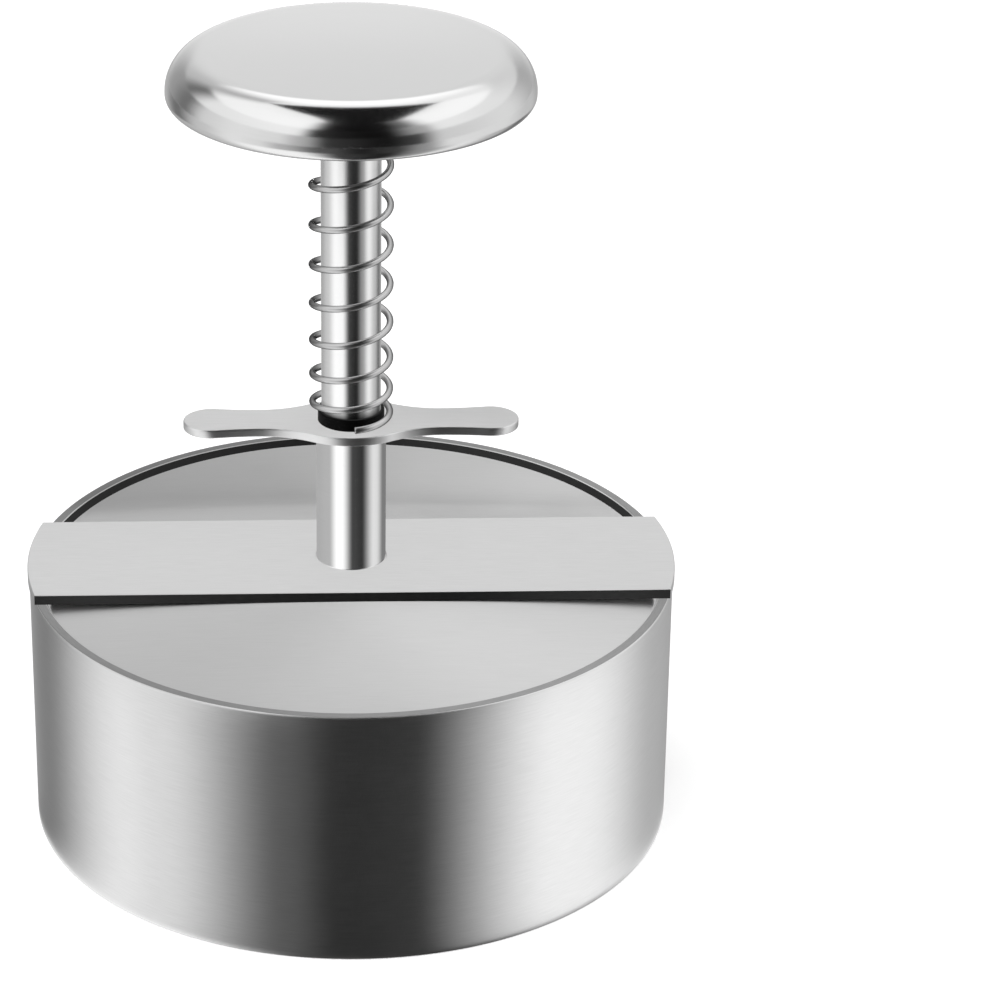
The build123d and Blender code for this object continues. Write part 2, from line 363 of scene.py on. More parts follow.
end_turn = asin(bar_half_width / bar_end_radius)
right_end = arc((0, 0), bar_end_radius, -degrees(end_turn), degrees(end_turn), 24)
side_reach = right_end[-1].x
half_steps = 16
far_side = [side_reach * (1 - step / half_steps) for step in range(1, 2 * half_steps)]
far_side = [Vector((x, bar_half_width)) for x in far_side]
left_end = [Vector((-point.x, -point.y)) for point in right_end]
near_side = [Vector((-point.x, -point.y)) for point in far_side]
bar_piece = flat_plate(
    "bar_across",
    right_end + far_side + left_end + near_side,
    sleeve_radius + sleeve_joint,
    bar_low.z,
    bar_high.z,
    bar_edge_radius,
    eased_below=False,
)
straight_grain(bar_piece)
bar_piece.data.materials.append(belt_ground_stainless)
bar_piece.data.materials.append(dark_cut_edge_and_painted_shade)
# The long cut sides take the dark edge colour: oxide of the cut, painted darker as shade.
for face in bar_piece.data.polygons:
    if abs(face.normal.y) > 0.95:
        face.material_index = 1
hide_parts("crossbar")
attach(bar_piece, "frame")


# Guide sleeve
# A short length of drawn stainless tube with a 0.85 mm wall, welded in the bar's hole from below. It was
# ground and buffed round on a lathe before welding, so it mirrors in upright bands.
sleeve_low, sleeve_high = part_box("guide_sleeve")
sleeve_wall = 0.85 * mm
tube_edge = 0.1 * mm
bore_radius = sleeve_radius - sleeve_wall

sleeve_piece = turned(
    "sleeve_tube",
    eased(
        [
            (bore_radius, sleeve_low.z, 0),
            (sleeve_radius, sleeve_low.z, 0),
            (sleeve_radius, sleeve_high.z, tube_edge),
            (bore_radius, sleeve_high.z, tube_edge),
        ]
    ),
    segments=128,
)
# Buffed bar and tube: nearly a mirror, with faint round marks of the lathe, drawn 0.15 mm wide.
buffing = {
    "colour": "#D5D5D5",
    "roughness": 0.17,
    "anisotropy": 0.35,
    "line_width": 0.15 * mm,
    "line_length": 8 * mm,
    "line_depth": 0.001 * mm,
    "mottle": 0.02,
}
buffed_stainless = worked_steel("buffed_stainless", **buffing)
sleeve_piece.data.materials.append(buffed_stainless)
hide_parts("guide_sleeve")
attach(sleeve_piece, "frame")


# Finger plate
# Two wings for the fingers, blanked from 1.5 mm sheet, tumbled so that no edge is sharp, and brushed on top.
# It is spot welded on the sleeve's end.
plate_low, plate_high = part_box("finger_plate")
bush_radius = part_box("guide_bush")[1].x
wing_half_span = plate_high.x
centre_half_width = plate_high.y
centre_radius = 13 * mm
neck = Vector((15.3 * mm, 4.05 * mm))
wing_end_radius = 4.65 * mm
wing_edge_radius = 0.25 * mm


def hollow_centre(bulge_centre, bulge_radius):
    """Centre of the hollow arc that leaves a bulge and is level at the neck."""
    reach = abs(neck.x - bulge_centre.x)
    waist = neck.y - bulge_centre.y
    radius = (reach**2 + waist**2 - bulge_radius**2) / (2 * (bulge_radius - waist))
    return Vector((neck.x, neck.y + radius))


def bearing(start, end):
    """Direction from one point to another, in degrees from the X axis."""
    return -degrees(Vector((1, 0)).angle_signed(end - start))


centre_bulge = Vector((0, centre_half_width - centre_radius))
end_bulge = Vector((wing_half_span - wing_end_radius, 0))
inner_hollow = hollow_centre(centre_bulge, centre_radius)
outer_hollow = hollow_centre(end_bulge, wing_end_radius)
inner_turn = bearing(centre_bulge, inner_hollow)
outer_turn = bearing(end_bulge, outer_hollow)
quarter = arc(end_bulge, wing_end_radius, 0, outer_turn, 20)
quarter += arc(outer_hollow, outer_hollow.y - neck.y, outer_turn - 180, -90, 8)[1:]
quarter += arc(inner_hollow, inner_hollow.y - neck.y, -90, inner_turn - 180, 14)[1:]
quarter += arc(centre_bulge, centre_radius, inner_turn, 90, 14)[1:]
half = quarter + [Vector((-point.x, point.y)) for point in reversed(quarter[:-1])]
wings = half + [Vector((point.x, -point.y)) for point in reversed(half[1:-1])]
wing_piece = flat_plate(
    "finger_wings",
    wings,
    bush_radius + sleeve_joint,
    plate_low.z,
    plate_high.z,
    wing_edge_radius,
    eased_below=True,
)
straight_grain(wing_piece)
wing_piece.data.materials.append(belt_ground_stainless)
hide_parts("finger_plate")
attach(wing_piece, "frame")


# Guide bush
# A black nylon ring, turned from rod and pressed in the finger plate's hole, which keeps the rod from
# rubbing on the sleeve. It stands 2 mm above the plate, inside the spring.
bush_low, bush_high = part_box("guide_bush")
bush_chamfer = 0.2 * mm
bush_piece = turned(
    "bush_ring",
    eased(
        [
            (bore_radius, bush_low.z, 0),
            (bush_radius, bush_low.z, 0),
            (bush_radius, bush_high.z, bush_chamfer),
            (bore_radius, bush_high.z, 0),
        ]
    ),
    segments=128,
)
# Turned nylon: a dull black that is a little lighter on the tool's round marks, with dust in its pores. Its
# gloss is turned nearly off, painted shade that keeps it as black as the recess round the rod's foot.
nylon_and_painted_shade = bpy.data.materials.new("turned_nylon_and_painted_shade")
nylon_and_painted_shade.use_nodes = True
tree = nylon_and_painted_shade.node_tree
tree.nodes.clear()
grain = add_node(tree, "ShaderNodeUVMap", {"uv_map": "Grain"}).outputs["UV"]
tool_mark_pitch = 0.754 * mm
# The wave has a band every pi / 10 at a scale of 1.
tool_marks = add_node(
    tree,
    "ShaderNodeTexWave",
    {"wave_type": "BANDS", "bands_direction": "Y"},
    {"Vector": grain, "Scale": pi / 10 / tool_mark_pitch, "Distortion": 0.6, "Detail": 2},
).outputs["Fac"]
place = add_node(tree, "ShaderNodeTexCoord").outputs["Object"]
pores = add_node(
    tree, "ShaderNodeTexNoise", inputs={"Vector": place, "Scale": 1 / (0.3 * mm), "Detail": 3}
).outputs["Fac"]
black = add_node(
    tree,
    "ShaderNodeMix",
    {"data_type": "RGBA"},
    {"Factor": pores, "A": linear("#030303"), "B": linear("#080808")},
).outputs["Result"]
sheen = add_node(
    tree, "ShaderNodeMapRange", inputs={"Value": pores, "To Min": 0.38, "To Max": 0.6}
).outputs["Result"]
bump = add_node(
    tree, "ShaderNodeBump", inputs={"Height": tool_marks, "Distance": 0.01 * mm, "Strength": 1}
).outputs["Normal"]
# A Specular IOR Level of 0.04 takes nearly all the gloss away: painted shade.
shader = add_node(
    tree,
    "ShaderNodeBsdfPrincipled",
    inputs={"Base Color": black, "Roughness": sheen, "IOR": 1.53, "Specular IOR Level": 0.04, "Normal": bump},
)
add_node(tree, "ShaderNodeOutputMaterial", inputs={"Surface": shader.outputs["BSDF"]})
bush_piece.data.materials.append(nylon_and_painted_shade)
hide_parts("guide_bush")
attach(bush_piece, "frame")


# Return spring
# Nine turns of 1.13 mm stainless spring wire, wound cold on a mandrel and cut off square at both ends. Its
# turns crowd together towards the ends. The real spring shortens as the knob goes down; this one is wound
# once, between the finger plate and the washer.
wire_radius = 0.565 * mm
coil_radius = bush_radius + 0.33 * mm + wire_radius
spring_turns = 9
seat_gap = 0.05 * mm
washer_low, washer_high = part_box("spring_washer")
spring_length = washer_low.z - plate_high.z
wire_edge = 0.1 * mm

spring_tree = bpy.data.node_groups.new("wound_spring", "GeometryNodeTree")
spring_tree.interface.new_socket("Geometry", in_out="OUTPUT", socket_type="NodeSocketGeometry")
spring_inputs = {
    "Turns": spring_turns,
    "Coil radius": coil_radius,
    "Wire radius": wire_radius,
    "First level": plate_high.z + seat_gap + wire_radius,
    "Rise": spring_length - 2 * (seat_gap + wire_radius),
    "Start angle": radians(-86),
    "Lower crowding": 0.63,
    "Lower turns": 1.5,
    "Upper crowding": 0.6,
    "Upper turns": 0.5,
    "Points per turn": 64,
}
sockets = {}
for name, value in spring_inputs.items():
    kind = "NodeSocketInt" if name == "Points per turn" else "NodeSocketFloat"
    sockets[name] = spring_tree.interface.new_socket(name, in_out="INPUT", socket_type=kind).identifier
sockets["Material"] = spring_tree.interface.new_socket(
    "Material", in_out="INPUT", socket_type="NodeSocketMaterial"
).identifier
given = add_node(spring_tree, "NodeGroupInput").outputs


# Each sum is a Math node, given by its name, its operation and its values: numbers, inputs of the tree or
# earlier sums. Turns are counted by height, where one near either end adds less than a whole turn.
sums = [
    ("Last point", "MULTIPLY", "Turns", "Points per turn"),
    ("Turn", "DIVIDE", "Index", "Points per turn"),
    ("Angle", "MULTIPLY_ADD", "Turn", 2 * pi, "Start angle"),
    ("Cosine", "COSINE", "Angle"),
    ("Sine", "SINE", "Angle"),
    ("X", "MULTIPLY", "Coil radius", "Cosine"),
    ("Y", "MULTIPLY", "Coil radius", "Sine"),
    ("Lower loss", "MULTIPLY", "Lower crowding", "Lower turns"),
    ("Upper loss", "MULTIPLY", "Upper crowding", "Upper turns"),
]
for counted, turn in (("Here", "Turn"), ("Bottom", 0.0), ("Top", "Turns")):
    sums += [
        ("Falling", "MULTIPLY", turn, -1.0),
        ("Falling share", "DIVIDE", "Falling", "Lower turns"),
        ("Fading", "EXPONENT", "Falling share"),
        ("Faded", "SUBTRACT", 1.0, "Fading"),
        ("Lower part", "MULTIPLY", "Lower loss", "Faded"),
        ("Left", "SUBTRACT", turn, "Turns"),
        ("Left share", "DIVIDE", "Left", "Upper turns"),
        ("Growing", "EXPONENT", "Left share"),
        ("Upper part", "MULTIPLY", "Upper loss", "Growing"),
        ("Above the lower part", "SUBTRACT", turn, "Lower part"),
        (counted, "SUBTRACT", "Above the lower part", "Upper part"),
    ]
sums += [
    ("Climbed", "SUBTRACT", "Here", "Bottom"),
    ("Whole climb", "SUBTRACT", "Top", "Bottom"),
    ("Share", "DIVIDE", "Climbed", "Whole climb"),
    ("Z", "MULTIPLY_ADD", "Share", "Rise", "First level"),
    ("Count", "ADD", "Last point", 1.0),
]
known = {name: given[name] for name in spring_inputs}
known["Index"] = add_node(spring_tree, "GeometryNodeInputIndex").outputs["Index"]
for name, operation, *values in sums:
    inputs = {index: known.get(value, value) for index, value in enumerate(values)}
    known[name] = add_node(spring_tree, "ShaderNodeMath", {"operation": operation}, inputs).outputs["Value"]
place = add_node(
    spring_tree, "ShaderNodeCombineXYZ", inputs={axis: known[axis] for axis in "XYZ"}
).outputs["Vector"]
points = add_node(spring_tree, "GeometryNodeMeshLine", inputs={"Count": known["Count"]}).outputs["Mesh"]
line = add_node(spring_tree, "GeometryNodeMeshToCurve", inputs={"Mesh": points}).outputs["Curve"]
coil = add_node(
    spring_tree, "GeometryNodeSetPosition", inputs={"Geometry": line, "Position": place}
).outputs["Geometry"]
section = add_node(
    spring_tree, "GeometryNodeCurvePrimitiveCircle", inputs={"Resolution": 16, "Radius": given["Wire radius"]}
).outputs["Curve"]
along = add_node(spring_tree, "GeometryNodeCaptureAttribute", inputs={"Geometry": coil})
across = add_node(spring_tree, "GeometryNodeCaptureAttribute", inputs={"Geometry": section})
for kept in (along, across):
    kept.capture_items.new("FLOAT", "Length")
    run = add_node(spring_tree, "GeometryNodeSplineParameter").outputs["Length"]
    spring_tree.links.new(run, kept.inputs[1])
wire = add_node(
    spring_tree,
    "GeometryNodeCurveToMesh",
    inputs={"Curve": along.outputs[0], "Profile Curve": across.outputs[0], "Fill Caps": True},
).outputs["Mesh"]
drawn = add_node(
    spring_tree, "ShaderNodeCombineXYZ", inputs={"X": along.outputs[1], "Y": across.outputs[1]}
).outputs["Vector"]
mapped = add_node(
    spring_tree,
    "GeometryNodeStoreNamedAttribute",
    {"data_type": "FLOAT2", "domain": "CORNER"},
    {"Geometry": wire, "Name": "Grain", "Value": drawn},
).outputs["Geometry"]
real = add_node(spring_tree, "GeometryNodeRealizeInstances", inputs={"Geometry": mapped}).outputs["Geometry"]
coated = add_node(
    spring_tree, "GeometryNodeSetMaterial", inputs={"Geometry": real, "Material": given["Material"]}
).outputs["Geometry"]
add_node(spring_tree, "NodeGroupOutput", inputs={"Geometry": coated})

# Drawn spring wire: greyer than the sheet, with the die's fine lines along it, drawn 0.1 mm wide. Its gloss
# is tinted black at a grazing look, painted shade that outlines the wire.
drawn_wire = worked_steel(
    "drawn_spring_wire",
    colour="#B0B0B0",
    roughness=0.25,
    anisotropy=0.2,
    line_width=0.1 * mm,
    line_length=6 * mm,
    line_depth=0.001 * mm,
    mottle=0.06,
    rim="#000000",
)
start = bpy.data.objects.new("spring_start", bpy.data.meshes.new("spring_start"))
bpy.context.scene.collection.objects.link(start)
winding = start.modifiers.new("Winding", "NODES")
winding.node_group = spring_tree
for name, value in {**spring_inputs, "Material": drawn_wire}.items():
    winding[sockets[name]] = value
broken_edge = start.modifiers.new("Broken edge", "BEVEL")
broken_edge.width = wire_edge
broken_edge.segments = 2
broken_edge.angle_limit = radians(60)
bpy.context.view_layer.update()
wound = start.evaluated_get(bpy.context.evaluated_depsgraph_get())
spring_piece = bpy.data.objects.new("spring_coil", bpy.data.meshes.new_from_object(wound))
bpy.context.scene.collection.objects.link(spring_piece)
bpy.data.objects.remove(start)
spring_piece.data.shade_smooth()
spring_piece.data.set_sharp_from_angle(angle=radians(50))
spring_piece.visible_glossy = False
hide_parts("return_spring")
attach(spring_piece, "frame")
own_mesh(spring_piece)


# Spring washer
# A loose washer, turned from stainless bar and buffed, on which the spring's top end bears. It lets the knob
# turn without winding up the spring.
washer_hole_radius = 5.25 * mm
washer_piece = turned(
    "seat_washer",
    eased(
        [
            (washer_hole_radius, washer_low.z, 0.1 * mm),
            (washer_high.x, washer_low.z, 0.15 * mm),
            (washer_high.x, washer_high.z, 0.15 * mm),
            (washer_hole_radius, washer_high.z, 0.1 * mm),
        ],
        steps=3,
    ),
    segments=96,
)
washer_piece.data.materials.append(buffed_stainless)
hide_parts("spring_washer")
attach(washer_piece, "spring_seat")


# Rod
# Ground and buffed 10 mm stainless bar. Its upper end is turned down to the stud that screws into the knob,
# and its lower end stands on the press plate and is tapped for the screw.
rod_low, rod_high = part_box("rod")
base_low, base_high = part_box("knob_base")
rod_radius = rod_high.x
stud_radius = 4 * mm
tapped_radius = 2.55 * mm
tapped_depth = 10.8 * mm
rod_piece = turned(
    "rod_bar",
    [
        (0, rod_high.z),
        *eased(
            [
                (stud_radius, rod_high.z, 0.3 * mm),
                (stud_radius, base_low.z, 0),
                (rod_radius, base_low.z, 0.1 * mm),
                (rod_radius, rod_low.z, 0.1 * mm),
                (tapped_radius, rod_low.z, 0),
                (tapped_radius, rod_low.z + tapped_depth, 0),
                (0, rod_low.z + tapped_depth, 0),
                (0, rod_high.z, 0),
            ],
            steps=3,
        )[:-1],
    ],
    closed=False,
    segments=128,
)
# The same finish on the rod, with a painted dark reflection of the black bush, a band round the level where
# the rod leaves the bush at rest.
bush_reflection_band = (72 * mm, 2.2 * mm, 4.6 * mm)
reflection_painted_stainless = worked_steel("buffed_stainless_with_painted_reflection", **buffing, reflection_band=bush_reflection_band)
rod_piece.data.materials.append(reflection_painted_stainless)
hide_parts("rod")
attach(rod_piece, "plunger")


# Knob
# A cap pressed from 0.9 mm sheet and buffed to a soft mirror, with a disc crimped under it by its turned-in
# lip. A thin nut is welded on the disc inside, and the rod's stud screws into it.
cap_low, cap_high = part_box("knob_shell")
cap_radius = cap_high.x
cap_crown = 0.6 * mm
cap_shoulder_radius = 6.6 * mm
cap_lower_radius = 1.5 * mm
cap_wall = 0.9 * mm
lip_width = 2.0 * mm
shoulder_reach = cap_radius - cap_shoulder_radius
shoulder_level = cap_high.z - cap_crown - cap_shoulder_radius
crown_turn = 2 * atan(cap_crown / shoulder_reach)
crown_radius = shoulder_reach / sin(crown_turn) + cap_shoulder_radius
crown_centre = (0, shoulder_level - shoulder_reach / tan(crown_turn))
lip_reach = cap_radius - cap_lower_radius


def cap_section(depth):
    """Half of the cap's section from its top to its lip, this far inside its outer face."""
    crown_end = 90 - degrees(crown_turn)
    points = arc(crown_centre, crown_radius - depth, 90, crown_end, 14)
    points += arc((shoulder_reach, shoulder_level), cap_shoulder_radius - depth, crown_end, 0, 22)[1:]
    return points + arc((lip_reach, cap_low.z + cap_lower_radius), cap_lower_radius - depth, 0, -90, 10)


opening = lip_reach - lip_width
cap_piece = turned(
    "knob_cap",
    [
        *cap_section(0),
        (opening, cap_low.z),
        (opening, cap_low.z + cap_wall),
        *reversed(cap_section(cap_wall)),
    ],
    closed=False,
    segments=256,
)
# Buffed cap: a soft mirror with a haze from the mop, and hair-fine round marks, drawn 0.2 mm wide.
mop_buffed_stainless = worked_steel(
    "mop_buffed_stainless",
    colour="#C8C8C8",
    roughness=0.13,
    anisotropy=0.0,
    line_width=0.2 * mm,
    line_length=10 * mm,
    line_depth=0.0003 * mm,
    mottle=0.012,
)
cap_piece.data.materials.append(mop_buffed_stainless)
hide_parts("knob_shell")
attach(cap_piece, "plunger")

base_piece = turned(
    "knob_disc",
    eased(
        [
            (stud_radius + 0.1 * mm, base_low.z, 0.1 * mm),
            (base_high.x, base_low.z, 0.15 * mm),
            (base_high.x, base_high.z, 0.15 * mm),
            (stud_radius + 0.1 * mm, base_high.z, 0.1 * mm),
        ],
        steps=3,
    ),
    segments=160,
)
# Turned face: round tool marks about 0.3 mm apart, less bright than the buffed cap.
turned_stainless = worked_steel(
    "turned_stainless",
    colour="#C8C8C8",
    roughness=0.3,
    anisotropy=0.6,
    line_width=0.3 * mm,
    line_length=25 * mm,
    line_depth=0.004 * mm,
    mottle=0.05,
)
base_piece.data.materials.append(turned_stainless)
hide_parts("knob_base")
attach(base_piece, "plunger")

nut_low, nut_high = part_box("knob_nut")
nut_half_width = 6.5 * mm
nut_bore_radius = 4.05 * mm
nut_edge_radius = 0.4 * mm
hexagon_points = 96


def hexagon(half_width):
    """Outline of a hexagon with a corner on the X axis."""
    turns = [2 * pi * k / hexagon_points for k in range(hexagon_points)]
    return [Vector((cos(a), sin(a))) * half_width / cos(a % (pi / 3) - pi / 6) for a in turns]


nut_piece = flat_plate(
    "thin_nut",
    hexagon(nut_half_width),
    nut_bore_radius,
    nut_low.z,
    nut_high.z,
    nut_edge_radius,
    eased_below=False,
)
nut_piece.data.materials.append(turned_stainless)
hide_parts("knob_nut")
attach(nut_piece, "plunger")


# Press plate and its screw
# A disc of 2 mm sheet, dished a little so that meat comes off it, and brushed one way on both sides. A
# countersunk socket screw of turned stainless, flush below, holds it to the rod.
disc_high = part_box("press_plate")[1]
disc_radius = disc_high.x
disc_thickness = 2 * mm
disc_drop = 1.2 * mm
disc_edge_radius = 0.3 * mm
land_radius = 9 * mm
screw_low, screw_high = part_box("plate_screw")
screw_radius = 2.5 * mm
screw_gap = 0.03 * mm
head_radius = screw_high.x
key_half_width = 1.5 * mm
key_depth = 1.6 * mm

dish_reach = disc_radius - land_radius
dish_radius = (dish_reach**2 + disc_drop**2) / (2 * disc_drop)
dish_turn = degrees(asin(dish_reach / dish_radius))


def dish(level):
    """Curve of the plate's face from its flat land to just inside its edge."""
    points = arc((land_radius, level - dish_radius), dish_radius, 90, 90 - dish_turn, 24)
    return [point for point in points if point.x < disc_radius - disc_edge_radius]


edge_top = disc_high.z - disc_drop
edge_bottom = edge_top - disc_thickness
disc_edge = eased(
    [
        (land_radius, edge_bottom, 0),
        (disc_radius, edge_bottom, disc_edge_radius),
        (disc_radius, edge_top, disc_edge_radius),
        (land_radius, edge_top, 0),
    ]
)[1:-1]
disc_piece = turned(
    "press_disc",
    [
        (screw_radius + screw_gap, disc_high.z),
        (head_radius + screw_gap, disc_high.z - disc_thickness),
        *dish(disc_high.z - disc_thickness),
        *disc_edge,
        *reversed(dish(disc_high.z)),
    ],
    segments=256,
)
straight_grain(disc_piece)
# Press plate: the same belt-ground finish, dulled a little by washing.
washed_stainless = worked_steel(
    "washed_ground_stainless",
    colour="#C2C2C2",
    roughness=0.36,
    anisotropy=0.75,
    line_width=0.22 * mm,
    line_length=6 * mm,
    line_depth=0.003 * mm,
    mottle=0.045,
)
disc_piece.data.materials.append(washed_stainless)
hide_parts("press_plate")
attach(disc_piece, "plunger")

flats = hexagon(1)
rounds = [point.normalized() for point in flats]
screw_sections = [
    (flats, 0, screw_low.z + key_depth),
    (flats, key_half_width, screw_low.z + key_depth),
    (flats, key_half_width, screw_low.z),
    (rounds, head_radius, screw_low.z),
    (rounds, screw_radius, screw_low.z + disc_thickness),
    (rounds, screw_radius, screw_high.z),
    (rounds, 0, screw_high.z),
]
screw_rings = [[(*(point * size), level) for point in outline] for outline, size, level in screw_sections]
screw_around = [2 * pi * head_radius * k / hexagon_points for k in range(hexagon_points + 1)]
screw_piece = skin("countersunk_screw", screw_rings, screw_around)
screw_piece.data.materials.append(turned_stainless)
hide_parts("plate_screw")
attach(screw_piece, "plunger")


# Floor, background and lamps
# A white table in a white room, lit softly from above. Cards that only the steel sees stand round the press,
# as a photographer sets black and white boards round shiny things.
floor_half = 6.0
floor_glow = 0.42
room_light = 0.62


def stage_material(name, build):
    """A material of the studio, whose nodes the given function adds and returns the surface of."""
    material = bpy.data.materials.new(name)
    material.use_nodes = True
    tree = material.node_tree
    tree.nodes.clear()
    add_node(tree, "ShaderNodeOutputMaterial", inputs={"Surface": build(tree)})
    return material


def seen_white(tree):
    """1 for a ray from the camera, from a gloss or through glass, and 0 for light."""
    path = add_node(tree, "ShaderNodeLightPath").outputs
    either = add_node(
        tree, "ShaderNodeMath", {"operation": "MAXIMUM"}, {0: path["Is Camera Ray"], 1: path["Is Glossy Ray"]}
    ).outputs["Value"]
    return add_node(
        tree, "ShaderNodeMath", {"operation": "MAXIMUM"}, {0: either, 1: path["Is Transmission Ray"]}
    ).outputs["Value"]


def floor_surface(tree):
    """White paint that is lit by itself to the eye, keeps shadows, and is clear from below."""
    own_light = add_node(
        tree, "ShaderNodeMath", {"operation": "MULTIPLY"}, {0: seen_white(tree), 1: floor_glow}
    ).outputs["Value"]
    glow = add_node(tree, "ShaderNodeEmission", inputs={"Color": linear("#FFFFFF"), "Strength": own_light})
    paint = add_node(tree, "ShaderNodeBsdfDiffuse", inputs={"Color": linear("#F2F2F2")})
    both = add_node(
        tree, "ShaderNodeAddShader", inputs={0: glow.outputs["Emission"], 1: paint.outputs["BSDF"]}
    )
    clear = add_node(tree, "ShaderNodeBsdfTransparent")
    below = add_node(tree, "ShaderNodeNewGeometry").outputs["Backfacing"]
    return add_node(
        tree, "ShaderNodeMixShader", inputs={0: below, 1: both.outputs["Shader"], 2: clear.outputs["BSDF"]}
    ).outputs["Shader"]


def stage_mesh(name, corners, faces, material):
    """A plain mesh of the studio."""
    mesh = bpy.data.meshes.new(name)
    mesh.from_pydata(corners, [], faces)
    mesh.materials.append(material)
    piece = bpy.data.objects.new(name, mesh)
    bpy.context.scene.collection.objects.link(piece)
    return piece


floor_corners = [(x * floor_half, y * floor_half, 0) for x, y in ((-1, -1), (1, -1), (1, 1), (-1, 1))]
stage_mesh("floor", floor_corners, [(0, 1, 2, 3)], stage_material("white_table", floor_surface))

world = bpy.data.worlds.new("white_room")
world.use_nodes = True
bpy.context.scene.world = world
sky = world.node_tree
sky.nodes.clear()
room = add_node(
    sky, "ShaderNodeMapRange", inputs={"Value": seen_white(sky), "To Min": room_light, "To Max": 1.0}
).outputs["Result"]
background = add_node(sky, "ShaderNodeBackground", inputs={"Color": linear("#FFFFFF"), "Strength": room})
add_node(sky, "ShaderNodeOutputWorld", inputs={"Surface": background.outputs["Background"]})


full_glow = 1.6
everywhere = 10


def board_surface(stops, reach):
    """Glow of a board by the bearing from the front, in stops of (degrees to the right, share of full_glow).
    It shows from inside or below only, and only to a ray that comes from nearer than its reach."""

    def build(tree):
        place = add_node(tree, "ShaderNodeTexCoord").outputs["Object"]
        parts = add_node(tree, "ShaderNodeSeparateXYZ", inputs={"Vector": place}).outputs
        front = add_node(
            tree, "ShaderNodeMath", {"operation": "MULTIPLY"}, {0: parts["Y"], 1: -1}
        ).outputs["Value"]
        turn = add_node(
            tree, "ShaderNodeMath", {"operation": "ARCTAN2"}, {0: parts["X"], 1: front}
        ).outputs["Value"]
        share = add_node(
            tree, "ShaderNodeMapRange", inputs={"Value": turn, "From Min": -pi, "From Max": pi}
        ).outputs["Result"]
        ramp = add_node(tree, "ShaderNodeValToRGB", inputs={"Fac": share})
        ramp.color_ramp.interpolation = "EASE"
        elements = ramp.color_ramp.elements
        elements[1].position = 1
        elements[0].color = elements[1].color = (stops[0][1], stops[0][1], stops[0][1], 1)
        for degrees_right, grey in stops:
            elements.new(degrees_right / 360 + 0.5).color = (grey, grey, grey, 1)
        glow = add_node(
            tree, "ShaderNodeEmission", inputs={"Color": ramp.outputs["Color"], "Strength": full_glow}
        )
        clear = add_node(tree, "ShaderNodeBsdfTransparent")
        length = add_node(tree, "ShaderNodeLightPath").outputs["Ray Length"]
        near = add_node(
            tree, "ShaderNodeMath", {"operation": "LESS_THAN"}, {0: length, 1: reach}
        ).outputs["Value"]
        inner = add_node(tree, "ShaderNodeNewGeometry").outputs["Backfacing"]
        shown = add_node(
            tree, "ShaderNodeMath", {"operation": "MULTIPLY"}, {0: near, 1: inner}
        ).outputs["Value"]
        choice = {0: shown, 1: clear.outputs["BSDF"], 2: glow.outputs["Emission"]}
        return add_node(tree, "ShaderNodeMixShader", inputs=choice).outputs["Shader"]

    return build


def only_for_gloss(piece):
    """Hides a board from everything but the rays that a gloss sends out."""
    piece.visible_camera = False
    piece.visible_diffuse = False
    piece.visible_transmission = False
    piece.visible_volume_scatter = False
    piece.visible_shadow = False


def board(name, outline, stops, reach=everywhere):
    """A round board about the press, from a section of (radius, level) points."""
    segments = 180
    angles = [2 * pi * k / segments for k in range(segments)]
    corners = [(r * cos(a), r * sin(a), z) for r, z in outline for a in angles]
    faces = []
    for row in range(0, (len(outline) - 1) * segments, segments):
        for k in range(segments):
            after = (k + 1) % segments
            faces.append((row + k, row + after, row + segments + after, row + segments + k))
    surface = stage_material(name, board_surface(stops, reach))
    only_for_gloss(stage_mesh(name, corners, faces, surface))


# A narrow board close round the ring, black in front and bright to both sides, which only its wall mirrors.
board(
    "near_board",
    [(0.0556, 0.0003), (0.0605, 0.0003), (0.0605, 0.0435)],
    [
        (-180, 0.55),
        (-150, 0.1),
        (-120, 0.45),
        (-79, 0.16),
        (-49, 0.78),
        (-40, 0.68),
        (-14, 0.07),
        (-4, 0.01),
        (10, 0.02),
        (41, 0.87),
        (48, 0.86),
        (76, 0.38),
        (100, 0.25),
        (125, 0.75),
        (150, 0.1),
        (179, 0.55),
    ],
    reach=0.04,
)
# A board that clings to the sleeve, whose dark band stands a little to the right.
board(
    "sleeve_board",
    [(0.0061, 0.0468), (0.0061, 0.0709)],
    [
        (-180, 0.75),
        (-155, 0.4),
        (-130, 0.06),
        (-110, 0.3),
        (-42, 0.41),
        (-24, 0.98),
        (-18, 0.96),
        (2, 0.05),
        (17, 0.03),
        (41, 0.68),
        (46, 0.66),
        (68, 0.17),
        (100, 0.15),
        (125, 0.5),
        (150, 0.95),
        (179, 0.75),
    ],
    reach=0.0019,
)


def card(name, outline, level, stops, reach=everywhere):
    """A flat card at one level, seen from below."""
    corners = [(x, y, level) for x, y in outline]
    surface = stage_material(name, board_surface(stops, reach))
    only_for_gloss(stage_mesh(name, corners, [list(range(len(outline)))], surface))


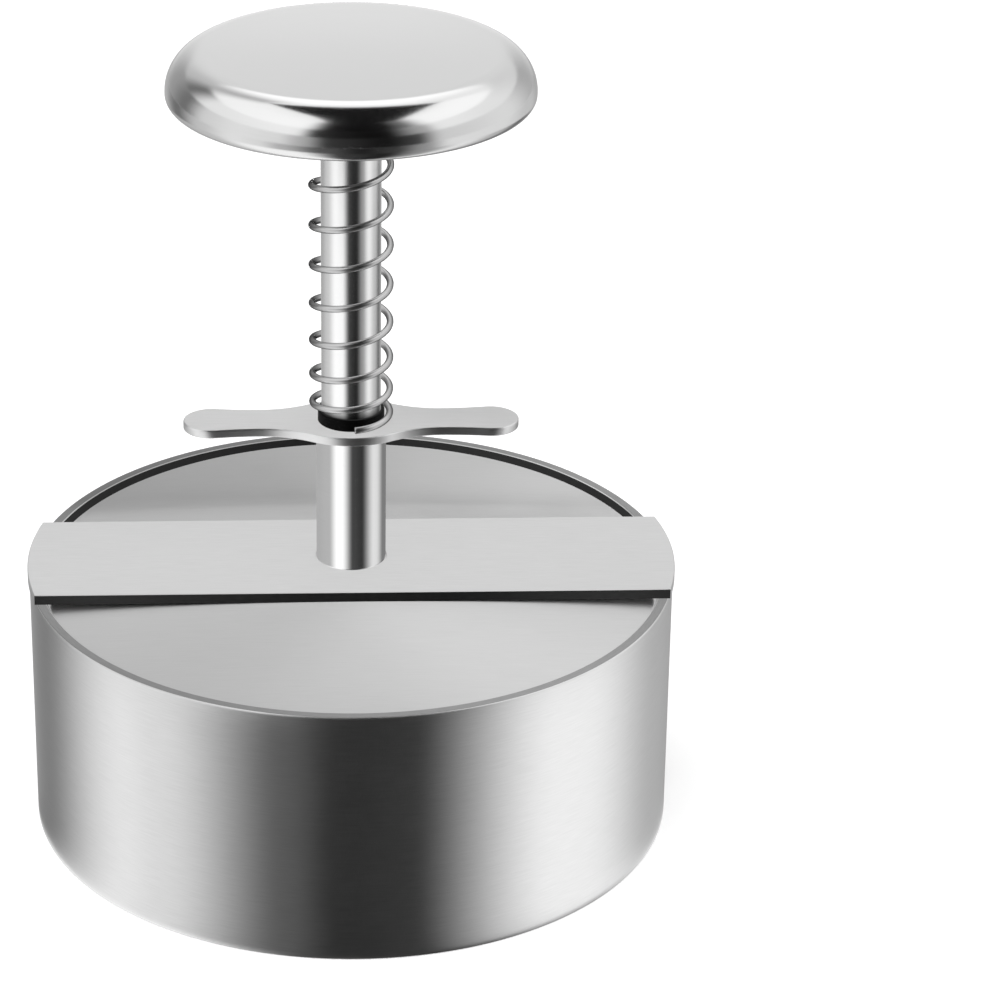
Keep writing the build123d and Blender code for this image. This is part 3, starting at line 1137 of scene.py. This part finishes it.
# Cards close by. The bar mirrors the lowest, the press plate's halves the next two, and the wings the last.
card(
    "bar_card",
    [(-0.057, -0.0148), (0.057, -0.0148), (0.057, 0.018), (-0.057, 0.018)],
    0.0475,
    [(0, 0.66)],
    reach=0.003,
)
card(
    "near_half_card",
    [(-0.056, -0.055), (0.056, -0.055), (0.056, 0.0), (-0.056, 0.0)],
    0.056,
    [(-90, 0.64), (-50, 0.57), (0, 0.70), (50, 0.83), (90, 0.74)],
    reach=0.06,
)
card(
    "far_half_card",
    [(-0.062, 0.029), (0.062, 0.029), (0.062, 0.085), (-0.062, 0.085)],
    0.050,
    [(-180, 0.48), (-160, 0.42), (-130, 0.38), (0, 0.5), (130, 0.72), (160, 0.58), (179, 0.48)],
    reach=0.046,
)
card(
    "wing_card",
    [(-0.05, 0.028), (0.05, 0.028), (0.05, 0.075), (-0.05, 0.075)],
    0.090,
    [(-180, 0.56), (-152, 0.66), (0, 0.56), (152, 0.38), (179, 0.56)],
    reach=0.055,
)
# A nearly black card in the shade under the knob, which the upper side of the spring's wire mirrors.
shade_radius = 0.016
shade_outline = [(shade_radius * cos(k), shade_radius * sin(k)) for k in range(6)]
card("knob_shade", shade_outline, 0.1288, [(0, 0.08)], reach=0.07)
# A board on the table, black in front, which the rod mirrors.
board(
    "floor_board",
    [(0.001, 0.0002), (0.345, 0.0002)],
    [
        (-180, 0.05),
        (-178.5, 0.05),
        (-175, 0.33),
        (-150, 0.33),
        (-100, 0.53),
        (-60, 0.95),
        (-35, 0.95),
        (-8, 0.04),
        (20, 0.012),
        (43, 0.28),
        (70, 0.8),
        (100, 0.45),
        (128, 0.12),
        (150, 0.3),
        (172, 0.3),
        (176, 0.05),
    ],
)
# The table farther out, which the lowest part of the knob mirrors.
board(
    "far_floor_board",
    [(0.345, 0.0002), (0.988, 0.0002)],
    [
        (-180, 0.05),
        (-179, 0.05),
        (-177, 0.36),
        (-155, 0.36),
        (-130, 0.14),
        (-103, 0.55),
        (-75, 0.78),
        (-58, 0.72),
        (-42, 0.42),
        (-20, 0.08),
        (5, 0.014),
        (25, 0.04),
        (43, 0.28),
        (60, 0.75),
        (100, 0.72),
        (135, 0.5),
        (155, 0.33),
        (174, 0.33),
        (177, 0.05),
    ],
)


# Boards in rows up a dome. Flat faces mirror their light backs, and the knob mirrors their black fronts.
def dome(low, high):
    """Section of the dome between two heights in degrees, seen from the knob."""
    return [(point.x, point.y) for point in arc((0, 0.14), 1.0, low, high, 4)]


board(
    "low_row",
    dome(-8, 18),
    [
        (-180, 0.69),
        (-145, 0.3),
        (-120, 0.15),
        (-98, 0.66),
        (-72, 0.77),
        (-45, 0.72),
        (-32, 0.45),
        (-15, 0.03),
        (20, 0.006),
        (38, 0.04),
        (56, 0.64),
        (105, 0.72),
        (145, 0.38),
        (179, 0.69),
    ],
)
board(
    "middle_row",
    dome(18, 38),
    [
        (-170, 0.66),
        (-150, 0.5),
        (-130, 0.14),
        (-106, 0.82),
        (-36, 0.9),
        (-24, 0.01),
        (22, 0.002),
        (45, 0.36),
        (57, 0.86),
        (105, 0.8),
        (150, 0.64),
        (170, 0.66),
    ],
)
board(
    "high_row",
    dome(38, 60),
    [
        (-170, 1.1),
        (-142, 0.45),
        (-120, 0.95),
        (-35, 1),
        (-19, 0),
        (24, 0),
        (36, 0.12),
        (57, 1),
        (125, 1),
        (140, 0.85),
        (170, 1.1),
    ],
)
board("top_row", dome(60, 88), [(-90, 0.95), (90, 0.95)])
# A black card hangs under the dome's top. It makes the waisted dark patch on the front of the knob.
card(
    "high_card",
    [
        (-0.33, 0.34),
        (-0.31, 0.16),
        (-0.265, -0.05),
        (-0.21, -0.24),
        (-0.20, -0.53),
        (0.36, -0.53),
        (0.375, -0.10),
        (0.375, 0.16),
        (0.375, 0.34),
    ],
    1.0,
    [(0, 0.0)],
)
# One more, black, lies against the bar's underside, so that the plate mirrors a dark line of painted shade
# where it goes under the bar.
shade_under_bar = [(-0.0512, 0.014), (-0.0512, -0.014), (0.0512, -0.014), (0.0512, 0.014)]
card("shade_under_bar_card", shade_under_bar, 0.0449, [(0, 0.0)], reach=0.005)

lamp_data = bpy.data.lights.new("top_softbox", "AREA")
lamp_data.shape = "RECTANGLE"
lamp_data.size = 1.2
lamp_data.size_y = 0.9
lamp_data.energy = 9
lamp = bpy.data.objects.new("top_softbox", lamp_data)
lamp.location = (-0.3, -0.4, 1.4)
lamp.rotation_euler = (-lamp.location).to_track_quat("-Z", "Y").to_euler()
lamp.visible_glossy = False
bpy.context.scene.collection.objects.link(lamp)


# Camera
# It looks down at the press from the front and a little from its left, through a long lens. The lens is
# shifted, because the press stands left of the picture's middle.
camera_distance = 0.5869
camera_height = 0.3351
camera_turn = radians(-1.3)
camera_pitch = radians(25.34)
camera_data = bpy.data.cameras.new("camera")
camera_data.sensor_width = 36
camera_data.lens = 137.46
camera_data.shift_x = 0.1489
camera = bpy.data.objects.new("camera", camera_data)
camera.location = (camera_distance * sin(camera_turn), -camera_distance * cos(camera_turn), camera_height)
camera.rotation_euler = (pi / 2 - camera_pitch, 0, camera_turn)
bpy.context.scene.collection.objects.link(camera)
bpy.context.scene.camera = camera
bpy.context.scene.view_settings.view_transform = "Standard"
